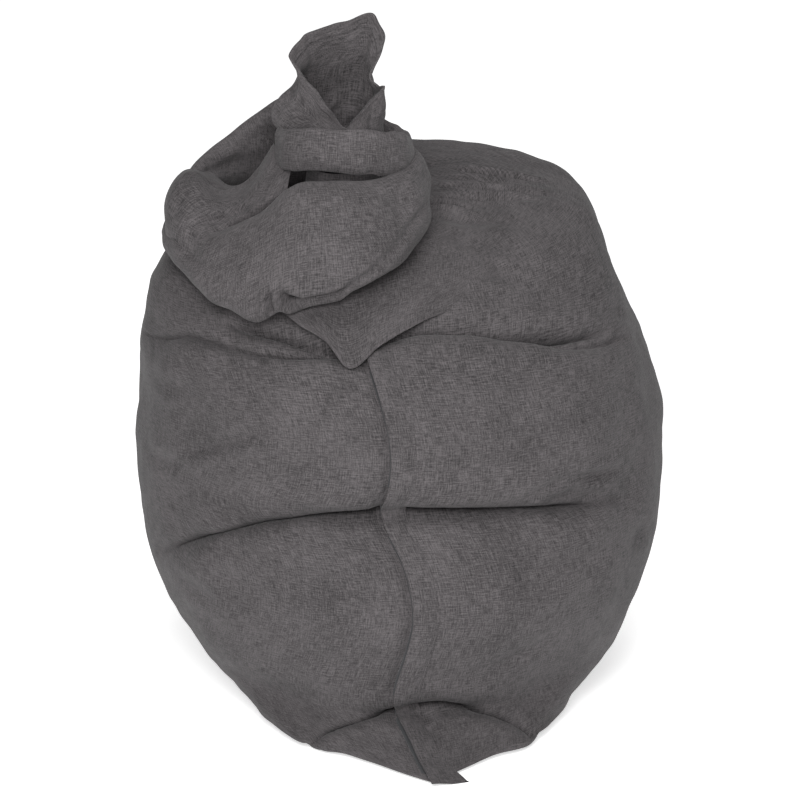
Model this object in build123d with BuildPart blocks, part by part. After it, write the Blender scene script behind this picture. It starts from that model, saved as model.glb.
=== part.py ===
from build123d import *
from collections import namedtuple
import math
import os

# Knotted bean bag chair: a two-panel cloth sack with its side seam to the front, filled with beads
# and closed at the top by knotting its long neck.
# Frame: +Z up, front towards -Y, +X to the right when seen from the front, origin on the floor
# under the middle of the sack. Millimetres.

# ---- driving dimensions -------------------------------------------------------------------------
sack_height = 850           # top of the stuffed sack, without the knot
sack_half_width = 450       # widest half width, seam plane to side
ear_reach = 560             # middle of the sack to the tip of each floor ear, along the seam
ear_rise = 75               # height of the ear where the body of the sack starts
ear_length = 190            # how far back that is from the tip
ear_swing = 58              # how far to the right the front ear's tip points
shoulder_height = 687       # where the front turns back into the sloping top

cloth = 1.6                 # outer cover cloth with its lining
liner_depth = 8.0           # outer cover surface to liner surface
liner_cloth = 1.0
fill_depth = 12             # outer cover surface to the bead fill
side_pull = 1.3             # how much more the sides are pulled in than the seam

seam_top = 676              # the zip and its fly stop here, under the knot
neck_x = -98                # the neck stands left of the middle and in front of it
neck_y = -60

tape_gap = 2.5              # seam line to the inner edge of each zip tape
tape_width = 15
coil_half = 2.2
fly_left = -12              # the fly's free edge, left of the seam
fly_right = 31              # the fly's sewn edge
fly_under = 9.2             # cover surface to the underside of the fly
fly_cloth = 1.2

slider_park = 28            # ear tip to the parked slider, along the ridge
pull_length = 22
liner_slider_park = 40      # liner ear tip to the parked liner slider

front_plan = math.hypot(ear_length, ear_swing)      # plan length of the front ear's ridge
front_slope = math.degrees(math.atan2(ear_rise, front_plan))
top_slope = 15.7
wall_slope = 80

# ---- the stuffed sack ---------------------------------------------------------------------------
# Each level is a horizontal outline: where the front and rear seams stand, the half width, where
# the shoulder between them is (fractions of half width and of half depth), and the seam's slope.
Level = namedtuple("Level", "height front rear half_width out along slope")
levels = [
    Level(0, -ear_reach, ear_reach, 270, 0.77, 0.60, front_slope),
    Level(ear_rise, ear_length - ear_reach, ear_reach - ear_length, 362, 0.75, 0.68, front_slope),
    Level(160, -425, 420, 408, 0.74, 0.69, wall_slope),
    Level(250, -445, 442, 434, 0.74, 0.69, wall_slope),
    Level(345, -425, 435, 448, 0.74, 0.70, wall_slope),
    Level(436, -390, 418, sack_half_width, 0.74, 0.71, wall_slope),
    Level(500, -402, 418, 444, 0.74, 0.71, wall_slope),
    Level(560, -400, 418, 432, 0.74, 0.71, wall_slope),
    Level(630, -365, 412, 412, 0.74, 0.71, wall_slope),
    Level(shoulder_height, -290, 402, 386, 0.75, 0.71, top_slope),
    Level(738, -110, 394, 348, 0.76, 0.70, top_slope),
    Level(790, 76, 380, 298, 0.78, 0.70, top_slope),
    Level(830, 196, 360, 240, 0.78, 0.70, top_slope),
    Level(sack_height, 236, 346, 165, 0.76, 0.70, top_slope),
]

# The front seam lies in one upright plane, which swings to the right towards the ear's tip and
# crosses the middle of the sack where the ear starts.
seam_root = Vector(0, ear_length - ear_reach, 0)
seam_forward = Vector(ear_swing / front_plan, -ear_length / front_plan, 0)
seam_across = Vector(ear_length / front_plan, ear_swing / front_plan, 0)
seam_turn = math.degrees(math.atan2(ear_swing, ear_length))
seam_back = -290            # behind this the seam runs straight back under the neck


def sack_outline(level, depth, sides):
    """The sack's outline at one level, pulled in by depth, or pushed out where it is negative.

    sides holds 1 for the right side, -1 for the left; one side alone is closed from seam to seam.
    """
    lift = max(depth, 0) * (1 - 2 * level.height / sack_height)
    lean = math.radians(level.slope)
    seam_shift = depth / math.sin(lean) + lift / math.tan(lean)
    seam_x = (seam_root.Y - min(level.front, seam_back)) * ear_swing / ear_length
    front = Vector(seam_x, level.front, 0) - seam_forward * seam_shift
    rear = level.rear - seam_shift
    half_width = level.half_width - side_pull * depth
    middle = (level.front + level.rear) / 2
    corner_x = level.out * half_width
    corner_y = level.along * (level.rear - level.front - 2 * seam_shift) / 2
    with BuildSketch(Plane.XY.offset(level.height + lift)) as outline:
        with BuildLine():
            for side in sides:
                Spline(
                    (front.X, front.Y),
                    (side * corner_x, middle - corner_y),
                    (side * half_width, middle),
                    (side * corner_x, middle + corner_y),
                    (0, rear),
                )
            if len(sides) == 1:
                Line((0, rear), (front.X, front.Y))
        make_face()
    return outline.sketch


def sack(depth, mode=Mode.ADD, sides=(1, -1)):
    """The stuffed sack, or one side of it, at one depth, straight between its levels."""
    loft([sack_outline(level, depth, sides) for level in levels], ruled=True, mode=mode)


def panel(side, depth, thickness):
    """One side's cloth, its outer face at a depth, open towards the other side."""
    sack(depth, sides=(side,))
    sack(depth + thickness, Mode.SUBTRACT)


def seam_strip(outer_depth, inner_depth, left, right, bottom, top):
    """A strip of cloth along the front seam, between two heights."""
    sack(outer_depth)
    sack(inner_depth, Mode.SUBTRACT)
    middle = seam_root + seam_across * (left + right) / 2 + Vector(0, 0, (bottom + top) / 2)
    with Locations(Location(middle, (0, 0, seam_turn))):
        Box(right - left, ear_reach, top - bottom, mode=Mode.INTERSECT)


def ridge_plane(along, above):
    """A plane on the front ear's ridge: X across, Y uphill, Z out of the cloth."""
    lean = math.radians(front_slope)
    uphill = Vector(0, 0, math.sin(lean)) - seam_forward * math.cos(lean)
    outward = Vector(0, 0, math.cos(lean)) + seam_forward * math.sin(lean)
    tip = seam_root + seam_forward * front_plan
    return Plane(origin=tip + uphill * along + outward * above, x_dir=seam_across, z_dir=outward)


def finish(part, name):
    """Name a finished piece and write it."""
    part.label = name
    export_step(part, f"parts/{name}.step")


os.makedirs("parts", exist_ok=True)

# ---- outer cover --------------------------------------------------------------------------------
with BuildPart() as cover_left_panel:
    panel(-1, 0, cloth)
finish(cover_left_panel.part, "cover_left_panel")

with BuildPart() as cover_right_panel:
    panel(1, 0, cloth)
finish(cover_right_panel.part, "cover_right_panel")

# ---- the fly over the zip -----------------------------------------------------------------------
fly_start = 76              # height where the fixed fly starts
fly_end_low = 3             # the loose end of the fly, from the ear's tip along the ridge
fly_end_high = 172
fly_end_middle = (fly_end_low + fly_end_high) / 2
ear_room = 40               # taller than anything on the ear

with BuildPart() as zip_fly:
    seam_strip(-fly_under - fly_cloth, -fly_under, fly_left, fly_right, fly_start, seam_top)
finish(zip_fly.part, "zip_fly")

with BuildPart(ridge_plane(fly_end_middle, 0)) as zip_fly_end:
    sack(-fly_under - fly_cloth)
    sack(-fly_under, Mode.SUBTRACT)
    with Locations(((fly_left + fly_right) / 2, 0, 0)):
        Box(fly_right - fly_left, fly_end_high - fly_end_low, ear_room, mode=Mode.INTERSECT)
finish(zip_fly_end.part, "zip_fly_end")

# ---- zip in the front seam ----------------------------------------------------------------------
tape_low, tape_high = 0.5, 1.1
coil_low, coil_high = 1.2, 2.8
zip_bottom = 6              # height of the zip's lower end on the ear
meshed_gap = 0.1            # half the gap between the two meshed coils
stop_length = 5
stop_gap = 1

for name, left, right in (
    ("zip_tape_left", -tape_width, -tape_gap),
    ("zip_tape_right", tape_gap, tape_width),
):
    with BuildPart() as tape:
        seam_strip(-tape_high, -tape_low, left, right, zip_bottom, seam_top)
    finish(tape.part, name)

for name, left, right in (
    ("zip_coil_left", -coil_half, -meshed_gap),
    ("zip_coil_right", meshed_gap, coil_half),
):
    with BuildPart() as coil:
        seam_strip(
            -coil_high, -coil_low, left, right, zip_bottom + stop_length, seam_top - stop_length
        )
    finish(coil.part, name)

for name, bottom in (
    ("zip_bottom_stop", zip_bottom),
    ("zip_top_stop", seam_top - stop_length + stop_gap),
):
    with BuildPart() as stop:
        seam_strip(
            -coil_high, -coil_low, -coil_half, coil_half, bottom, bottom + stop_length - stop_gap
        )
    finish(stop.part, name)

# The slider is a channel over the coil with a bridge on top; the pull's pin turns in the bridge.
slider_length = 13
slider_half_width = 4.6
slider_corner = 1.5
plate_low, plate_high = 3.1, 4.3
flange_width = 1.8
flange_low = 1.5
bridge_top = 7.7
bridge_length = 9
bridge_width = 2.4
bridge_wall = 1.2
slider_outward = ridge_plane(0, 0).z_dir

with BuildPart(ridge_plane(slider_park, flange_low)) as zip_slider:
    Box(
        2 * slider_half_width,
        slider_length,
        plate_high - flange_low,
        align=(Align.CENTER, Align.CENTER, Align.MIN),
    )
    fillet(zip_slider.edges().filter_by(Axis((0, 0, 0), slider_outward)), slider_corner)
    Box(
        2 * (slider_half_width - flange_width),
        slider_length,
        plate_low - flange_low,
        align=(Align.CENTER, Align.CENTER, Align.MIN),
        mode=Mode.SUBTRACT,
    )
    with Locations((0, 0, plate_high - flange_low)):
        Box(
            bridge_width,
            bridge_length,
            bridge_top - plate_high,
            align=(Align.CENTER, Align.CENTER, Align.MIN),
        )
        Box(
            bridge_width,
            bridge_length - 2 * bridge_wall,
            bridge_top - plate_high - bridge_wall,
            align=(Align.CENTER, Align.CENTER, Align.MIN),
            mode=Mode.SUBTRACT,
        )
finish(zip_slider.part, "zip_slider")

pin_height = 5.5
pin_radius = 0.7
pull_half_width = 4
pull_thickness = 1.2
arm_width = 1.7
arm_length = 7

with BuildPart(ridge_plane(slider_park, pin_height)) as zip_pull:
    with Locations((0, -pull_length / 2, 0)):
        Box(2 * pull_half_width, pull_length, pull_thickness)
    with Locations((0, -arm_length / 2, 0)):
        Box(
            2 * (pull_half_width - arm_width), arm_length, pull_thickness, mode=Mode.SUBTRACT
        )
    Cylinder(pin_radius, 2 * pull_half_width, rotation=(0, 90, 0))
finish(zip_pull.part, "zip_pull")

# ---- neck, knot and open end --------------------------------------------------------------------
loop_center = (-172, neck_y, 893)
loop_ring, loop_half_width, loop_half_height = 152, 77, 104
loop_tilt = 12              # degrees, the loop is higher on the left
band_center = (neck_x, neck_y, 990)
band_ring, band_half_width, band_half_height = 78, 38, 41
core_radius = 38            # the neck where it passes through the wrap
core_top = 1001
rim_center = (neck_x, neck_y, 1207)
rim_half_length, rim_half_depth = 62, 42
rim_lean = 19               # degrees, the open end rises to the right
waist_height = 1112
hem_height = 14
hem_cloth = 1.2


def ring_of_cloth(center, ring_radius, half_width, half_height, tilt):
    """A fold of the neck wound once round: an ellipse turned about a leaning upright axis."""
    lean = math.radians(tilt)
    across = Vector(math.cos(lean), 0, -math.sin(lean))
    upright = Vector(math.sin(lean), 0, math.cos(lean))
    with BuildSketch(Plane(origin=center, x_dir=across, z_dir=(0, -1, 0))) as section:
        with Locations((ring_radius, 0)):
            Ellipse(half_width, half_height)
    revolve(section.sketch, axis=Axis(center, upright))


def neck_section(center, half_length, half_depth, lean=0):
    """An oval across the neck, its right side raised by lean degrees."""
    tilt = math.radians(lean)
    across = Vector(math.cos(tilt), 0, math.sin(tilt))
    upright = Vector(-math.sin(tilt), 0, math.cos(tilt))
    with BuildSketch(Plane(origin=center, x_dir=across, z_dir=upright)) as section:
        Ellipse(half_length, half_depth)
    return section.sketch


def rim_section(above, grow):
    """The neck's open end, moved up along its own lean and grown by grow."""
    tilt = math.radians(rim_lean)
    center = Vector(rim_center) + Vector(-math.sin(tilt), 0, math.cos(tilt)) * above
    return neck_section(center, rim_half_length + grow, rim_half_depth + grow, rim_lean)


with BuildPart() as knot_band:
    ring_of_cloth(band_center, band_ring, band_half_width, band_half_height, 0)
finish(knot_band.part, "knot_band")

with BuildPart() as knot_loop:
    ring_of_cloth(loop_center, loop_ring, loop_half_width, loop_half_height, loop_tilt)
    add(knot_band.part, mode=Mode.SUBTRACT)
    sack(0, Mode.SUBTRACT)
finish(knot_loop.part, "knot_loop")

# The neck gathers from the sack's sloping top, up through the loop, to the wrap.
with BuildPart() as neck_root:
    loft(
        [
            neck_section((-60, -90, 688), 236, 212),
            neck_section((-95, -75, 790), 150, 130),
            neck_section((-120, neck_y, 880), 74, 70),
            neck_section((neck_x, neck_y, core_top), core_radius, core_radius),
        ]
    )
    sack(0, Mode.SUBTRACT)
    add(knot_loop.part, mode=Mode.SUBTRACT)
    add(knot_band.part, mode=Mode.SUBTRACT)
finish(neck_root.part, "neck_root")

with BuildPart() as neck_tail:
    loft(
        [
            neck_section((neck_x, neck_y, core_top), core_radius, core_radius),
            neck_section((neck_x, neck_y, waist_height), core_radius, 0.8 * core_radius),
            rim_section(-hem_height, 0),
        ]
    )
    loft([rim_section(-hem_height, 0), rim_section(0, 0)])
    add(knot_band.part, mode=Mode.SUBTRACT)
finish(neck_tail.part, "neck_tail")

with BuildPart() as tail_hem:
    loft([rim_section(-hem_height, hem_cloth), rim_section(0, hem_cloth)])
    loft([rim_section(-hem_height, 0), rim_section(0, 0)], mode=Mode.SUBTRACT)
finish(tail_hem.part, "tail_hem")

# ---- inner liner with its own zip ---------------------------------------------------------------
with BuildPart() as liner_left_panel:
    panel(-1, liner_depth, liner_cloth)
finish(liner_left_panel.part, "liner_left_panel")

with BuildPart() as liner_right_panel:
    panel(1, liner_depth, liner_cloth)
finish(liner_right_panel.part, "liner_right_panel")

liner_tape_low, liner_tape_high = 0.2, 0.6
liner_coil_low, liner_coil_high = 0.7, 1.7
liner_tape_width = 11
liner_coil_half = 1.5
liner_zip_bottom = 14
liner_zip_top = 72

for name, left, right in (
    ("liner_zip_tape_left", -liner_tape_width, -tape_gap),
    ("liner_zip_tape_right", tape_gap, liner_tape_width),
):
    with BuildPart() as tape:
        seam_strip(
            liner_depth - liner_tape_high,
            liner_depth - liner_tape_low,
            left,
            right,
            liner_zip_bottom,
            liner_zip_top,
        )
    finish(tape.part, name)

with BuildPart() as liner_zip_coil:
    seam_strip(
        liner_depth - liner_coil_high,
        liner_depth - liner_coil_low,
        -liner_coil_half,
        liner_coil_half,
        liner_zip_bottom,
        liner_zip_top,
    )
finish(liner_zip_coil.part, "liner_zip_coil")

# The liner's slider has no pull, so that a child can't open it.
liner_slider_length = 9
liner_slider_half_width = 3.6
liner_flange_width = 1.6
liner_flange_low = 1.1
liner_plate_low, liner_plate_high = 2.1, 3.6
liner_tip = liner_depth / math.tan(math.radians(front_slope) / 2)

with BuildPart(
    ridge_plane(liner_tip + liner_slider_park, liner_flange_low - liner_depth)
) as liner_zip_slider:
    Box(
        2 * liner_slider_half_width,
        liner_slider_length,
        liner_plate_high - liner_flange_low,
        align=(Align.CENTER, Align.CENTER, Align.MIN),
    )
    Box(
        2 * (liner_slider_half_width - liner_flange_width),
        liner_slider_length,
        liner_plate_low - liner_flange_low,
        align=(Align.CENTER, Align.CENTER, Align.MIN),
        mode=Mode.SUBTRACT,
    )
finish(liner_zip_slider.part, "liner_zip_slider")

# ---- fill and label -----------------------------------------------------------------------------
with BuildPart() as bead_fill:
    sack(fill_depth)
finish(bead_fill.part, "bead_fill")

label_depth = 4.0           # the label hangs between cover and liner
label_cloth = 0.4
label_width = 30
label_bottom, label_top = 560, 610
label_left = 20

with BuildPart() as care_label:
    seam_strip(
        label_depth,
        label_depth + label_cloth,
        label_left,
        label_left + label_width,
        label_bottom,
        label_top,
    )
finish(care_label.part, "care_label")
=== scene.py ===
import math

import bpy
import numpy as np
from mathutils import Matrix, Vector
from mathutils.kdtree import KDTree


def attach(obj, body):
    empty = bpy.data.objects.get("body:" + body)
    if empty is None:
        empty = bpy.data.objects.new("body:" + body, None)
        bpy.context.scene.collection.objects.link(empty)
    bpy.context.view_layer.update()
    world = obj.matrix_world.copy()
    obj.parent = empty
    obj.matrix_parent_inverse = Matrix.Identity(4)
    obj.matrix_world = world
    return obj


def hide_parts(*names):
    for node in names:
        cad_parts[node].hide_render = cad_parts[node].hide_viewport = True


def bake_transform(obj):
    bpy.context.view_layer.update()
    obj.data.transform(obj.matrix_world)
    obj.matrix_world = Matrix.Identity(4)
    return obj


# Knotted bean bag chair. Sizes below are millimetres in the row frame: +Z up, front towards -Y,
# +X to the right seen from the front. They become metres where a mesh is made.

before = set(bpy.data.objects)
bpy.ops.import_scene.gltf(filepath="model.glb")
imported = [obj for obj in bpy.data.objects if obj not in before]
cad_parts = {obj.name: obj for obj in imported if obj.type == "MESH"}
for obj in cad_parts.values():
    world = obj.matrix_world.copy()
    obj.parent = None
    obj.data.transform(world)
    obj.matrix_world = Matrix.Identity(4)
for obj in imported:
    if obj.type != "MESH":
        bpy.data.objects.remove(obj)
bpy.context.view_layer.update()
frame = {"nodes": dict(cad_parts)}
scene = bpy.context.scene
MM = 0.001


# ---- curves and grids ---------------------------------------------------------------------------
def through(knots, points, at):
    """A smooth curve through points (first axis) with their knot values, read at other values."""
    knots, points = np.asarray(knots, float), np.asarray(points, float)
    gap = np.diff(knots)
    slope = np.diff(points, axis=0) / gap.reshape((-1,) + (1,) * (points.ndim - 1))
    tangent = np.empty_like(points)
    tangent[0], tangent[-1] = slope[0], slope[-1]
    before = gap[:-1].reshape((-1,) + (1,) * (points.ndim - 1))
    after = gap[1:].reshape((-1,) + (1,) * (points.ndim - 1))
    tangent[1:-1] = (slope[:-1] * after + slope[1:] * before) / (before + after)
    i = np.clip(np.searchsorted(knots, at, side="right") - 1, 0, len(gap) - 1)
    shape = (-1,) + (1,) * (points.ndim - 1)
    h = gap[i].reshape(shape)
    t = ((at - knots[i]) / gap[i]).reshape(shape)
    return (
        points[i] * (1 + 2 * t) * (1 - t) ** 2
        + tangent[i] * h * t * (1 - t) ** 2
        + points[i + 1] * t**2 * (3 - 2 * t)
        + tangent[i + 1] * h * t**2 * (t - 1)
    )


def chord_knots(points):
    """Knot values from the mean distance between neighbours along the first axis."""
    step = np.linalg.norm(np.diff(points, axis=0), axis=-1)
    if step.ndim > 1:
        step = step.mean(axis=tuple(range(1, step.ndim)))
    return np.concatenate([[0], np.cumsum(step)])


def fine(points, count):
    """A control net's first axis refined to count smooth points."""
    points = np.asarray(points, float)
    knots = chord_knots(points)
    return through(knots, points, np.linspace(0, knots[-1], count))


def fine_loop(points, count):
    """As fine, for a closed loop given without its last point repeated."""
    points = np.asarray(points, float)
    wrapped = np.concatenate([points[-2:], points, points[:3]])
    knots = chord_knots(wrapped)
    start, end = knots[2], knots[2 + len(points)]
    return through(knots, wrapped, np.linspace(start, end, count, endpoint=False))


def unit(v):
    return v / np.maximum(np.linalg.norm(v, axis=-1, keepdims=True), 1e-9)


def smooth(values, width, axis=0):
    """A running mean with mirrored ends."""
    if width < 2:
        return values
    pad = [(0, 0)] * values.ndim
    pad[axis] = (width, width)
    total = np.cumsum(np.pad(values, pad, mode="edge"), axis=axis)
    n = values.shape[axis]
    high = np.take(total, np.arange(n) + width + width // 2, axis=axis)
    low = np.take(total, np.arange(n) + width // 2, axis=axis)
    return (high - low) / width


def ease(t):
    t = np.clip(t, 0, 1)
    return t * t * (3 - 2 * t)


def ripple(points, waves, shortest, longest, seed):
    """Seeded soft noise from sines in space, about -1 to 1."""
    rng = np.random.default_rng(seed)
    total = np.zeros(points.shape[:-1])
    for _ in range(waves):
        way = unit(rng.normal(size=3))
        length = math.exp(rng.uniform(math.log(shortest), math.log(longest)))
        bend = rng.uniform(0, 2 * math.pi, 2)
        warp = np.sin(points @ unit(rng.normal(size=3)) * 2.2 / length + bend[0])
        total += np.sin(points @ way * 2 * math.pi / length + 1.3 * warp + bend[1])
    return total / math.sqrt(waves)


def make_mesh(name, points, uvs, loop_u=False, loop_v=False, caps=False):
    """A quad grid (rows, columns, 3) in mm as a smooth mesh with UVs in metres."""
    rows, columns = points.shape[:2]
    index = np.arange(rows * columns).reshape(rows, columns)
    r = np.arange(rows if loop_v else rows - 1)
    c = np.arange(columns if loop_u else columns - 1)
    rr, cc = np.meshgrid(r, c, indexing="ij")
    r2, c2 = (rr + 1) % rows, (cc + 1) % columns
    quads = np.stack([index[rr, cc], index[rr, c2], index[r2, c2], index[r2, cc]], -1)
    quads = quads.reshape(-1, 4)
    co = points.reshape(-1, 3) * MM
    du, dv = uvs
    corner_u = np.stack([du[rr, cc], du[rr, cc + 1], du[rr, cc + 1], du[rr, cc]], -1)
    corner_v = np.stack([dv[rr, cc], dv[rr, cc], dv[rr + 1, cc], dv[rr + 1, cc]], -1)
    uv = np.stack([corner_u.reshape(-1), corner_v.reshape(-1)], -1) * MM
    faces = [tuple(q) for q in quads.tolist()]
    uv_list = uv.tolist()
    if caps:
        for end in (0, rows - 1):
            ring = points[end]
            middle = ring.mean(axis=0)
            co = np.concatenate([co, middle[None] * MM])
            for j in range(columns):
                a, b = int(index[end, j]), int(index[end, (j + 1) % columns])
                faces.append((b, a, len(co) - 1) if end == 0 else (a, b, len(co) - 1))
                uv_list += [[0, 0], [0.01, 0], [0, 0.01]]
    mesh = bpy.data.meshes.new(name)
    mesh.from_pydata(co.tolist(), [], faces)
    layer = mesh.uv_layers.new(name="cloth")
    layer.data.foreach_set("uv", np.asarray(uv_list, np.float32).ravel())
    mesh.polygons.foreach_set("use_smooth", [True] * len(mesh.polygons))
    mesh.update()
    obj = bpy.data.objects.new(name, mesh)
    scene.collection.objects.link(obj)
    return obj


def grid_uvs(points, loop_u=False, loop_v=False):
    """Arc lengths along both axes of a grid, with one more column or row where it closes."""
    if loop_u:
        points = np.concatenate([points, points[:, :1]], axis=1)
    if loop_v:
        points = np.concatenate([points, points[:1]], axis=0)
    across = np.linalg.norm(np.diff(points, axis=1), axis=-1)
    along = np.linalg.norm(np.diff(points, axis=0), axis=-1)
    u = np.concatenate([np.zeros((len(points), 1)), np.cumsum(across, axis=1)], axis=1)
    v = np.concatenate([np.zeros((1, points.shape[1])), np.cumsum(along, axis=0)], axis=0)
    return u, v.mean(axis=1, keepdims=True) + 0 * v


# ---- the stuffed sack ---------------------------------------------------------------------------
# Each row is a ring round the sack: where it stands at the front seam, the right side, the rear
# seam and the left side, and how pointed it is at the front and at the rear.
RINGS = [
    ((0, -30, 0), (20, 0, 0), (0, 30, 0), (-20, 0, 0), 1.0, 1.0),
    ((22, -260, 0), (150, 0, 0), (0, 260, 0), (-140, 0, 0), 1.6, 1.5),
    ((48, -524, 0), (280, 0, 0), (0, 530, 0), (-255, 0, 0), 2.0, 1.75),
    ((54, -548, 4), (308, 0, 14), (0, 553, 6), (-282, 0, 14), 1.95, 1.7),
    ((38, -496, 25), (330, 0, 34), (0, 505, 25), (-306, 0, 34), 1.75, 1.6),
    ((22, -446, 45), (352, 0, 60), (0, 455, 45), (-330, 0, 60), 1.5, 1.45),
    ((5, -402, 74), (374, 0, 90), (0, 378, 78), (-356, 0, 90), 1.2, 1.2),
    ((2, -414, 112), (391, 0, 130), (0, 405, 118), (-380, 0, 130), 1.08, 1.08),
    ((24, -442, 200), (420, 0, 205), (0, 438, 205), (-415, 0, 205), 1.02, 1.02),
    ((36, -450, 262), (436, 0, 270), (0, 444, 270), (-436, 0, 270), 1.0, 1.0),
    ((20, -432, 350), (448, 0, 350), (0, 436, 355), (-448, 0, 350), 1.0, 1.0),
    ((-20, -396, 436), (450, 0, 430), (0, 425, 436), (-450, 0, 430), 1.0, 1.0),
    ((-6, -414, 490), (448, 0, 485), (0, 424, 490), (-449, 0, 480), 1.0, 1.0),
    ((-3, -416, 560), (436, 0, 545), (0, 422, 562), (-444, 0, 545), 1.0, 1.0),
    ((-22, -388, 640), (416, 0, 605), (-10, 412, 655), (-442, -10, 615), 1.0, 1.0),
    ((-48, -318, 702), (393, 8, 660), (-12, 408, 706), (-434, -15, 670), 1.0, 0.95),
    ((-55, -250, 735), (366, 30, 724), (-15, 402, 750), (-422, -20, 722), 1.0, 0.85),
    ((-65, -208, 758), (342, 78, 784), (-20, 388, 803), (-392, -20, 763), 1.0, 0.66),
    ((-75, -178, 776), (310, 130, 821), (-25, 348, 847), (-340, -20, 793), 1.0, 0.6),
    ((-85, -155, 792), (235, 136, 836), (-35, 285, 860), (-280, -25, 812), 1.0, 0.68),
    ((-92, -140, 815), (120, 60, 834), (-60, 170, 852), (-215, -40, 830), 1.0, 1.0),
    ((-98, -128, 860), (10, -20, 850), (-85, 50, 858), (-175, -55, 860), 1.0, 1.0),
    ((-100, -115, 950), (-45, -60, 950), (-100, -5, 950), (-155, -60, 950), 1.0, 1.0),
]
HALF_COLUMNS = 230
BASE_ROWS = 30
WALL_ROWS = 390
SEAM = HALF_COLUMNS                 # the column of the front seam
angle = np.linspace(-180, 180, 2 * HALF_COLUMNS + 1)


def ring(front, right, rear, left, point, rear_point):
    """One ring's points at every angle, through its four places."""
    turn = np.radians(np.abs(angle))
    side = np.where(angle[:, None] >= 0, np.array(right, float), np.array(left, float))
    end = np.where(np.abs(angle)[:, None] <= 90, np.array(front, float), np.array(rear, float))
    out = np.abs(np.sin(turn)) ** np.where(np.abs(angle) <= 90, point, rear_point)
    ahead = np.abs(np.cos(turn))
    rise = np.sin(turn) ** 2
    x = end[:, 0] + (side[:, 0] - end[:, 0]) * out
    y = side[:, 1] + (end[:, 1] - side[:, 1]) * ahead
    z = end[:, 2] + (side[:, 2] - end[:, 2]) * rise
    return np.stack([x, y, z], -1)


net = np.stack([ring(*r) for r in RINGS])
net_knots = chord_knots(net)
EDGE_RING = 3
rows_at = np.concatenate([
    np.linspace(0, net_knots[EDGE_RING], BASE_ROWS, endpoint=False),
    np.linspace(net_knots[EDGE_RING], net_knots[-1], WALL_ROWS),
])
skin = through(net_knots, net, rows_at)
skin[..., 2] = np.maximum(skin[..., 2], 0)
# On both sides of each ear the stuffed cloth bulges down to the floor as a lobe: its angle, how far
# it reaches, its width in degrees.
LOBES = ((-57, 54, 11), (56, 52, 11), (-125, 24, 12), (125, 24, 12))
LOBE_TOP, LOBE_FADE, SIDE_GAP = 95, 80, 150
for middle, reach, width in LOBES:
    bulge = reach * np.exp(-(((angle - middle) / width) ** 2))[None]
    bulge = bulge * ease((LOBE_TOP - skin[..., 2]) / LOBE_FADE)
    bulge = bulge * ease(skin[..., 1] ** 2 / SIDE_GAP**2)
    skin[..., 1] += bulge * np.sign(skin[..., 1])


def directions(points):
    """Outward normals and uphill directions of the ring grid."""
    along = np.gradient(points, axis=0)
    around = np.empty_like(points)
    around[:, 1:-1] = points[:, 2:] - points[:, :-2]
    around[:, 0] = around[:, -1] = points[:, 1] - points[:, -2]
    normal = unit(np.cross(around, along))
    return normal, unit(along)


normal, uphill = directions(skin)
climb = np.gradient(skin[..., 2], axis=0) / np.maximum(
    np.linalg.norm(np.gradient(skin, axis=0), axis=-1), 1e-6
)

# Creases run round the sack where its cloth folds in: angle, height and depth at each point, then
# how wide the crease is and how far its upper lip droops.
CREASES = [
    # the fold across the middle
    ([(-75, 262, 0), (-66, 292, 10), (-60, 315, 22), (-52, 345, 32), (-41, 379, 44), (-32, 403, 48),
      (-18, 424, 52), (-5, 436, 52), (0, 438, 34), (5, 438, 54), (14, 434, 50), (30, 426, 46),
      (41, 418, 36), (49, 406, 16), (56, 394, 0)], 10, 9),
    # the fold under the shoulder: a shallow lower line on the left, the main one on the right
    ([(-88, 640, 0), (-78, 646, 8), (-67, 662, 16), (-55, 686, 18), (-41, 688, 16), (-31, 685, 20),
      (-23, 689, 32), (-14, 696, 38), (-5, 704, 30), (0, 714, 30), (11, 725, 34), (19, 722, 38),
      (27, 715, 42), (36, 704, 46), (46, 691, 48), (54, 682, 38), (62, 674, 16), (72, 665, 0)],
     10, 9),
    # a branch that leaves it on the right
    ([(36, 700, 0), (43, 686, 12), (48, 674, 16), (57, 661, 18), (68, 650, 14), (80, 644, 0)],
     9, 5),
    # a short deep one left of the neck's fold
    ([(-40, 716, 0), (-35, 716, 30), (-29, 715, 42), (-21, 713, 46), (-13, 709, 34), (-6, 702, 0)],
     11, 7),
    # folds that run out at the rear
    ([(-178, 430, 16), (-160, 428, 20), (-140, 418, 16), (-120, 400, 0)], 16, 5),
    ([(120, 398, 0), (140, 416, 18), (160, 428, 20), (178, 430, 16)], 16, 5),
    ([(-178, 690, 22), (-158, 684, 22), (-135, 668, 16), (-112, 648, 0)], 18, 6),
    ([(112, 644, 0), (135, 664, 18), (158, 682, 22), (178, 690, 22)], 18, 6),
]
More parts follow.
